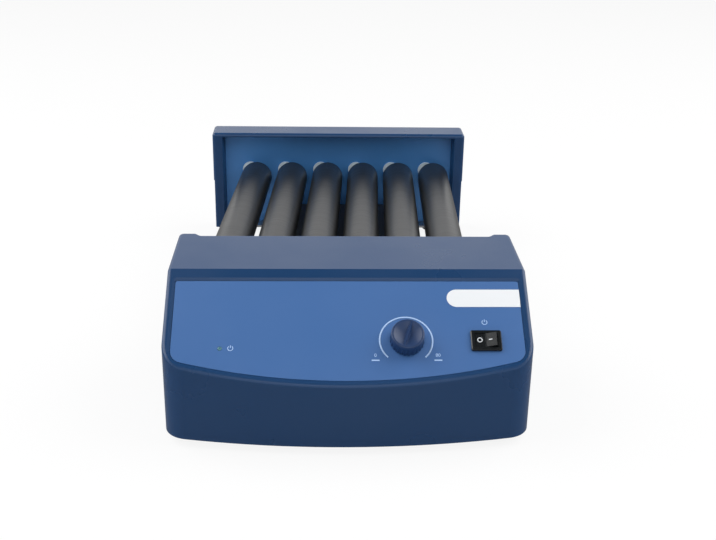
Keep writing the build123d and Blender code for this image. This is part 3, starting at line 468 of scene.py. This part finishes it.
ARC_RADIUS = 17.6 * MM
ARC_HALF_GAP = math.radians(44.5)
ARC_WIDTH = 1.0 * MM
ARC_SHIFT = (-0.5 * MM, -0.4 * MM)
NUMBER_SIDE = 20.7 * MM
NUMBER_DOWN = 11.2 * MM
NUMBER_BAR = (5.2 * MM, 0.9 * MM)
NUMBER_BAR_DOWN = 3.6 * MM
NUMBER_SIZE = 3.4 * MM
SYMBOL_RADIUS = 1.7 * MM
SYMBOL_WIDTH = 0.45 * MM
SYMBOL_HALF_GAP = math.radians(35)
SYMBOL_BAR = 1.87 * MM
SYMBOL_BAR_UP = 1.275 * MM
SWITCH_SYMBOL_UP = 14.4 * MM
LAMP_SYMBOL_RIGHT = 7.0 * MM
ROCKER_CREASE = (-0.16 * MM, 1.69 * MM)
ROCKER_RISE = math.radians(20)
ROCKER_RING_REACH = 4.2 * MM
ROCKER_DASH_REACH = 3.0 * MM
ROCKER_RING = (1.5 * MM, 0.6 * MM)
ROCKER_DASH = (2.4 * MM, 0.7 * MM)


def power_symbol(name, centre, right, down, ink):
    """The usual open ring with an upright bar in its gap."""
    ring = arc_mesh(SYMBOL_RADIUS, SYMBOL_HALF_GAP, SYMBOL_WIDTH, ink)
    ring_place = on_panel(centre, right, down, PRINT_HEIGHT / 2, math.pi)
    solid_piece(f"{name}_ring", ring, ink, "frame", ring_place)
    bar = bar_mesh(SYMBOL_WIDTH, SYMBOL_BAR, PRINT_HEIGHT)
    bar_place = on_panel(centre, right, down - SYMBOL_BAR_UP, PRINT_HEIGHT / 2)
    solid_piece(f"{name}_bar", bar, ink, "frame", bar_place)


def mark_rocker(switch_centre):
    """A ring on the rocker's pressed half, which lies level, and a dash on its raised half."""
    ink = print_finish("ink_white", plain(226, 230, 234))
    across, height = ROCKER_CREASE
    radius, width = ROCKER_RING
    crease = on_panel(switch_centre, across, lift=height)
    ring = arc_mesh(radius, 0.0, width, ink)
    ring_place = crease @ Matrix.Translation((-ROCKER_RING_REACH, 0, PRINT_HEIGHT / 2))
    solid_piece("rocker_ring", ring, ink, "rocker", ring_place)
    dash = bar_mesh(*ROCKER_DASH, PRINT_HEIGHT)
    raised = crease @ Matrix.Rotation(-ROCKER_RISE, 4, "Y")
    dash_place = raised @ Matrix.Translation((ROCKER_DASH_REACH, 0, PRINT_HEIGHT / 2))
    solid_piece("rocker_dash", dash, ink, "rocker", dash_place)


def print_panel():
    ink = print_finish("ink_pale_blue", plain(176, 206, 246))
    dial_centre = KNOB_CENTRE + RIGHT * ARC_SHIFT[0] - UPWARD * ARC_SHIFT[1]
    arc = arc_mesh(ARC_RADIUS, ARC_HALF_GAP, ARC_WIDTH, ink)
    arc_place = on_panel(dial_centre, lift=PRINT_HEIGHT / 2)
    solid_piece("dial_arc", arc, ink, "frame", arc_place)
    for name, text, side in (("dial_low", "0", -1), ("dial_high", "80", 1)):
        place = on_panel(dial_centre, side * NUMBER_SIDE, NUMBER_DOWN, PRINT_HEIGHT / 2)
        solid_piece(name, number_mesh(text, NUMBER_SIZE), ink, "frame", place)
        place = on_panel(dial_centre, side * NUMBER_SIDE, NUMBER_DOWN + NUMBER_BAR_DOWN, PRINT_HEIGHT / 2)
        bar = bar_mesh(*NUMBER_BAR, PRINT_HEIGHT)
        solid_piece(f"{name}_bar", bar, ink, "frame", place)
    switch_centre = Vector(SWITCH["pos_m"])
    switch_centre -= OUTWARD * (switch_centre - KNOB_CENTRE).dot(OUTWARD)
    power_symbol("switch_symbol", switch_centre, 0.0, -SWITCH_SYMBOL_UP, ink)
    mark_rocker(switch_centre)
    lamp_low, lamp_high = (Vector(corner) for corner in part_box("power_led"))
    lamp_middle = (lamp_low + lamp_high) / 2
    lamp_centre = lamp_middle - OUTWARD * (lamp_middle - KNOB_CENTRE).dot(OUTWARD)
    power_symbol("lamp_symbol", lamp_centre, LAMP_SYMBOL_RIGHT, 0.0, ink)


# Floor, backdrop and light

FLOOR_HALF = 6.0
FLOOR_PAPER = (0.9, 0.9, 0.9, 1)
WHITE = (1, 1, 1, 1)
FLOOR_SEEN = 0.88
FLOOR_MIRRORED = 0.3
ROOM_LEVEL = 0.32
WALL_TOP = 0.45
CEILING_START = 0.8
CEILING_LEVEL = 0.1
LIGHTS = (
    # Name, place, target, width and watts
    ("left_box", (-1.25, 0.1, 1.2), (0, -0.05, 0.05), 1.6, 23),
    ("right_box", (1.25, 0.1, 1.2), (0, -0.05, 0.05), 1.6, 22),
    ("front_box", (0, -1.1, 1.2), (0, 0.05, 0.05), 0.8, 2.5),
)


def make_floor():
    """A pale sheet that keeps the object's shadow and shows white elsewhere."""
    material = bpy.data.materials.new("pale_floor")
    material.use_nodes = True
    tree = material.node_tree
    tree.nodes.clear()
    end = node(tree, "ShaderNodeOutputMaterial")
    paper = node(tree, "ShaderNodeBsdfDiffuse", {"Color": FLOOR_PAPER})
    white = node(tree, "ShaderNodeEmission", {"Color": WHITE})
    path = node(tree, "ShaderNodeLightPath")
    level = remap(tree, path.outputs["Is Camera Ray"], 0.0, 1.0, FLOOR_MIRRORED, 1.0)
    link(tree, level, white.inputs["Strength"])
    mix = node(tree, "ShaderNodeMixShader")
    link(tree, seen_share(tree, path), mix.inputs[0])
    link(tree, paper.outputs[0], mix.inputs[1])
    link(tree, white.outputs[0], mix.inputs[2])
    link(tree, mix.outputs[0], end.inputs["Surface"])
    mesh = bpy.data.meshes.new("floor")
    corners = [(x * FLOOR_HALF, y * FLOOR_HALF, 0) for x, y in ((-1, -1), (1, -1), (1, 1), (-1, 1))]
    mesh.from_pydata(corners, [], [(0, 1, 2, 3)])
    mesh.materials.append(material)
    floor = bpy.data.objects.new("floor", mesh)
    bpy.context.scene.collection.objects.link(floor)


def seen_share(tree, path):
    """Most of the way for rays from the camera, all of it in a reflection or glass, and 0 for the rest."""
    direct = node(tree, "ShaderNodeMath", {1: FLOOR_SEEN}, operation="MULTIPLY")
    link(tree, path.outputs["Is Camera Ray"], direct.inputs[0])
    total = node(tree, "ShaderNodeMath", operation="MAXIMUM")
    link(tree, direct.outputs[0], total.inputs[0])
    link(tree, path.outputs["Is Glossy Ray"], total.inputs[1])
    final = node(tree, "ShaderNodeMath", operation="MAXIMUM")
    link(tree, total.outputs[0], final.inputs[0])
    link(tree, path.outputs["Is Transmission Ray"], final.inputs[1])
    return final.outputs[0]


def make_world():
    """A pale room: white where the camera looks, white low down in reflections, and darker overhead."""
    world = bpy.data.worlds.new("studio")
    world.use_nodes = True
    bpy.context.scene.world = world
    tree = world.node_tree
    tree.nodes.clear()
    end = node(tree, "ShaderNodeOutputWorld")
    path = node(tree, "ShaderNodeLightPath")
    direction = node(tree, "ShaderNodeTexCoord")
    parts = node(tree, "ShaderNodeSeparateXYZ")
    link(tree, direction.outputs["Generated"], parts.inputs[0])
    mirrored = remap(tree, parts.outputs["Z"], WALL_TOP, CEILING_START, 1.0, CEILING_LEVEL)
    levels = node(tree, "ShaderNodeMix", data_type="FLOAT")
    levels.inputs[2].default_value = ROOM_LEVEL
    glossy = node(tree, "ShaderNodeMath", operation="MAXIMUM")
    link(tree, path.outputs["Is Glossy Ray"], glossy.inputs[0])
    link(tree, path.outputs["Is Transmission Ray"], glossy.inputs[1])
    link(tree, glossy.outputs[0], levels.inputs[0])
    link(tree, mirrored, levels.inputs[3])
    final = node(tree, "ShaderNodeMix", data_type="FLOAT")
    final.inputs[3].default_value = 1.0
    link(tree, path.outputs["Is Camera Ray"], final.inputs[0])
    link(tree, levels.outputs[0], final.inputs[2])
    light = node(tree, "ShaderNodeBackground", {"Color": WHITE})
    link(tree, final.outputs[0], light.inputs["Strength"])
    link(tree, light.outputs[0], end.inputs["Surface"])


def area_light(name, place, target, size, watts):
    data = bpy.data.lights.new(name, "AREA")
    data.shape = "SQUARE"
    data.size = size
    data.energy = watts
    lamp = bpy.data.objects.new(name, data)
    aim = (Vector(target) - Vector(place)).to_track_quat("-Z", "Y")
    lamp.matrix_world = Matrix.Translation(place) @ aim.to_matrix().to_4x4()
    bpy.context.scene.collection.objects.link(lamp)


def make_lights():
    for light in LIGHTS:
        area_light(*light)


make_camera()
dress_nodes(make_finishes())
print_panel()
make_floor()
make_world()
make_lights()
bpy.context.scene.view_settings.view_transform = "Standard"
